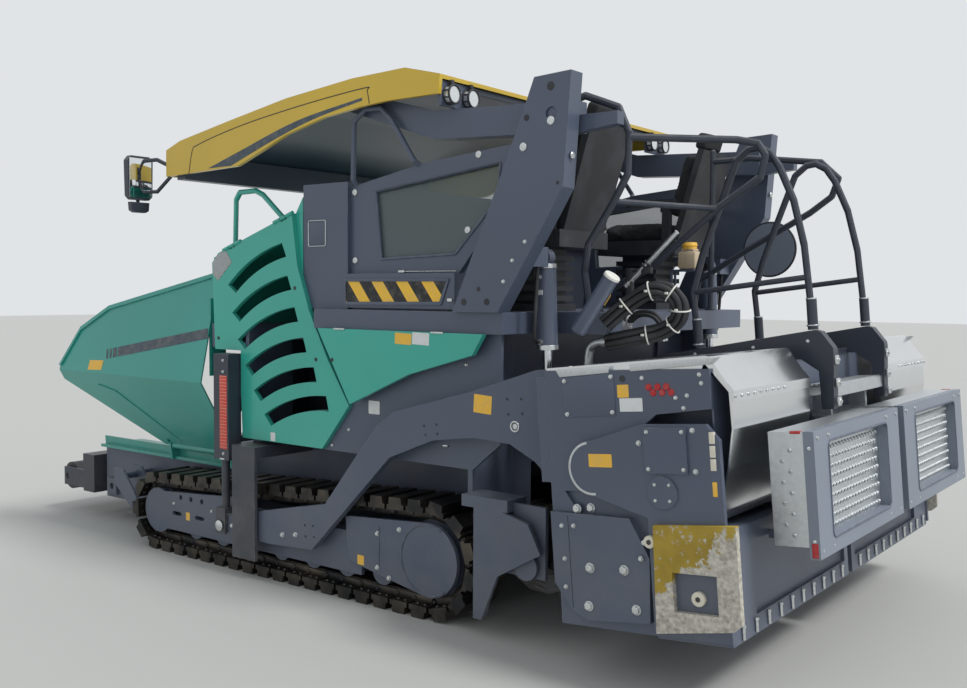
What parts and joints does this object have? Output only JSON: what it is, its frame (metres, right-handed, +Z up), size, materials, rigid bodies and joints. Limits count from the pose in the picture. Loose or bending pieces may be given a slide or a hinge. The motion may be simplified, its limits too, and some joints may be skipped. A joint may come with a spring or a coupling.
{
  "type": "asphalt paver",
  "caption": "Tracked asphalt paver with folded hopper wings, louvred side panels, low canopy roof, tow arms and a raised extending screed.",
  "frame": {"origin": "ground point under the middle of the whole length, in the machine's middle plane", "axes": "+X forwards to the hopper, +Y to the machine's left, +Z up"},
  "size_m": [6.196, 3.002, 2.93],
  "materials": {
    "green": "gloss",
    "hopper_green": "satin",
    "anthracite": "satin",
    "yellow": "gloss",
    "dark": "satin",
    "track": "matte",
    "steel": "satin",
    "stainless": "satin",
    "galvanised": "matte",
    "rod": "polished",
    "glass": "clear",
    "cushion": "matte",
    "rubber": "matte",
    "lamp": "gloss",
    "worn_yellow": "worn",
    "engine": "matte"
  },
  "bodies": {
    "tractor": {"chassis": "anthracite", "crawler_frame_left": "anthracite", "crawler_frame_right": "anthracite", "track_left": "track", "track_right": "track", "engine_block": "engine", "conveyor": "track", "hopper_floor": "hopper_green", "hood": "green", "grab_rails": "green", "fenders": "green", "platform": "anthracite", "bulkhead": "anthracite", "window_frames": "anthracite", "side_windows": "glass", "roof_posts": "anthracite", "lift_lugs": "anthracite", "lift_pins": "steel", "handrails": "anthracite", "console": "dark", "tow_cylinders": "dark", "auger_housing": "anthracite", "hose_bundle": "rubber"},
    "wing_left": {"hopper_wing_left": "hopper_green"},
    "wing_right": {"hopper_wing_right": "hopper_green"},
    "push_beam": {"push_beam": "dark"},
    "push_roller_left": {"push_roller_left": "steel"},
    "push_roller_right": {"push_roller_right": "steel"},
    "side_door_left": {"side_door_left": "green"},
    "side_door_right": {"side_door_right": "green"},
    "roof": {"roof_frame": "anthracite", "roof_shell": "yellow", "work_lamps": "lamp", "mirrors": "dark"},
    "seat_left": {"seat_left": "dark", "cushion_left": "cushion"},
    "seat_right": {"seat_right": "dark", "cushion_right": "cushion"},
    "auger_left": {"auger_left": "steel"},
    "auger_right": {"auger_right": "steel"},
    "lift_barrel_left": {"lift_barrel_left": "anthracite"},
    "lift_barrel_right": {"lift_barrel_right": "anthracite"},
    "lift_rod_left": {"lift_rod_left": "rod"},
    "lift_rod_right": {"lift_rod_right": "rod"},
    "screed": {"tow_arm_left": "anthracite", "tow_arm_right": "anthracite", "arm_pins": "steel", "screed_base": "anthracite", "screed_hoods": "stainless", "screed_stairs": "dark", "steps": "galvanised", "stair_hoops": "dark"},
    "extension_left": {"extension_left": "anthracite", "profile_plate_left": "worn_yellow"},
    "extension_right": {"extension_right": "anthracite", "profile_plate_right": "worn_yellow"},
    "walkway_left": {"walkway_left": "galvanised", "guard_left": "anthracite"},
    "walkway_right": {"walkway_right": "galvanised", "guard_right": "anthracite"}
  },
  "joints": [
    {"name": "wing_fold_left", "type": "hinge", "parent": "tractor", "child": "wing_left", "pos_m": [0.90297, 0.96, 0.66], "axis": [-1, 0, 0], "range_deg": [0, 45]},
    {"name": "wing_fold_right", "type": "hinge", "parent": "tractor", "child": "wing_right", "pos_m": [0.90297, -0.96, 0.66], "axis": [1, 0, 0], "range_deg": [0, 45]},
    {"name": "push_beam_swing", "type": "hinge", "parent": "tractor", "child": "push_beam", "pos_m": [2.59297, 0, 0.28], "axis": [0, 0, 1], "range_deg": [-4, 4]},
    {"name": "push_roller_spin_left", "type": "hinge", "parent": "push_beam", "child": "push_roller_left", "pos_m": [2.99297, 0.6, 0.28], "axis": [0, 1, 0], "continuous": true},
    {"name": "push_roller_spin_right", "type": "hinge", "parent": "push_beam", "child": "push_roller_right", "pos_m": [2.99297, -0.6, 0.28], "axis": [0, 1, 0], "continuous": true},
    {"name": "side_door_lift_left", "type": "hinge", "parent": "tractor", "child": "side_door_left", "pos_m": [0.85297, 1.205, 1.96], "axis": [0.9511, 0, -0.3088], "range_deg": [0, 70]},
    {"name": "side_door_lift_right", "type": "hinge", "parent": "tractor", "child": "side_door_right", "pos_m": [0.85297, -1.205, 1.96], "axis": [-0.9511, 0, 0.3088], "range_deg": [0, 70]},
    {"name": "roof_tilt", "type": "hinge", "parent": "tractor", "child": "roof", "pos_m": [-1.77703, 0, 2.6], "axis": [0, -1, 0], "range_deg": [0, 10]},
    {"name": "seat_turn_left", "type": "hinge", "parent": "tractor", "child": "seat_left", "pos_m": [-1.29703, 0.64, 1.8], "axis": [0, 0, 1], "range_deg": [-20, 20]},
    {"name": "seat_turn_right", "type": "hinge", "parent": "tractor", "child": "seat_right", "pos_m": [-1.29703, -0.64, 1.8], "axis": [0, 0, 1], "range_deg": [-20, 20]},
    {"name": "auger_spin_left", "type": "hinge", "parent": "tractor", "child": "auger_left", "pos_m": [-1.63703, 0.6, 0.4], "axis": [0, 1, 0], "continuous": true},
    {"name": "auger_spin_right", "type": "hinge", "parent": "tractor", "child": "auger_right", "pos_m": [-1.63703, -0.6, 0.4], "axis": [0, 1, 0], "continuous": true},
    {"name": "screed_lift", "type": "hinge", "parent": "tractor", "child": "screed", "pos_m": [0.63297, 0, 0.29], "axis": [0, 1, 0], "range_deg": [-5, 1]},
    {"name": "lift_swing_left", "type": "hinge", "parent": "tractor", "child": "lift_barrel_left", "pos_m": [-1.54703, 0.95, 1.93], "axis": [0, 1, 0], "range_deg": [-3, 8]},
    {"name": "lift_stroke_left", "type": "slide", "parent": "lift_barrel_left", "child": "lift_rod_left", "axis": [-0.0384, 0, -0.9993], "range_m": [-0.08, 0.25]},
    {"name": "lift_swing_right", "type": "hinge", "parent": "tractor", "child": "lift_barrel_right", "pos_m": [-1.54703, -0.95, 1.93], "axis": [0, 1, 0], "range_deg": [-3, 8]},
    {"name": "lift_stroke_right", "type": "slide", "parent": "lift_barrel_right", "child": "lift_rod_right", "axis": [-0.0384, 0, -0.9993], "range_m": [-0.08, 0.25]},
    {"name": "extension_slide_left", "type": "slide", "parent": "screed", "child": "extension_left", "axis": [0, 1, 0], "range_m": [0, 1.2]},
    {"name": "extension_slide_right", "type": "slide", "parent": "screed", "child": "extension_right", "axis": [0, -1, 0], "range_m": [0, 1.2]},
    {"name": "walkway_fold_left", "type": "hinge", "parent": "extension_left", "child": "walkway_left", "pos_m": [-2.87401, 0.65, 0.70724], "axis": [0, -1, 0], "range_deg": [0, 90]},
    {"name": "walkway_fold_right", "type": "hinge", "parent": "extension_right", "child": "walkway_right", "pos_m": [-2.87401, -0.65, 0.70724], "axis": [0, -1, 0], "range_deg": [0, 90]}
  ],
  "couplings": [
    {"joint": "lift_swing_left", "follows": "screed_lift", "ratio": -0.75409},
    {"joint": "lift_stroke_left", "follows": "screed_lift", "m_per_rad": -2.2822},
    {"joint": "lift_swing_right", "follows": "screed_lift", "ratio": -0.75409},
    {"joint": "lift_stroke_right", "follows": "screed_lift", "m_per_rad": -2.2822}
  ]
}
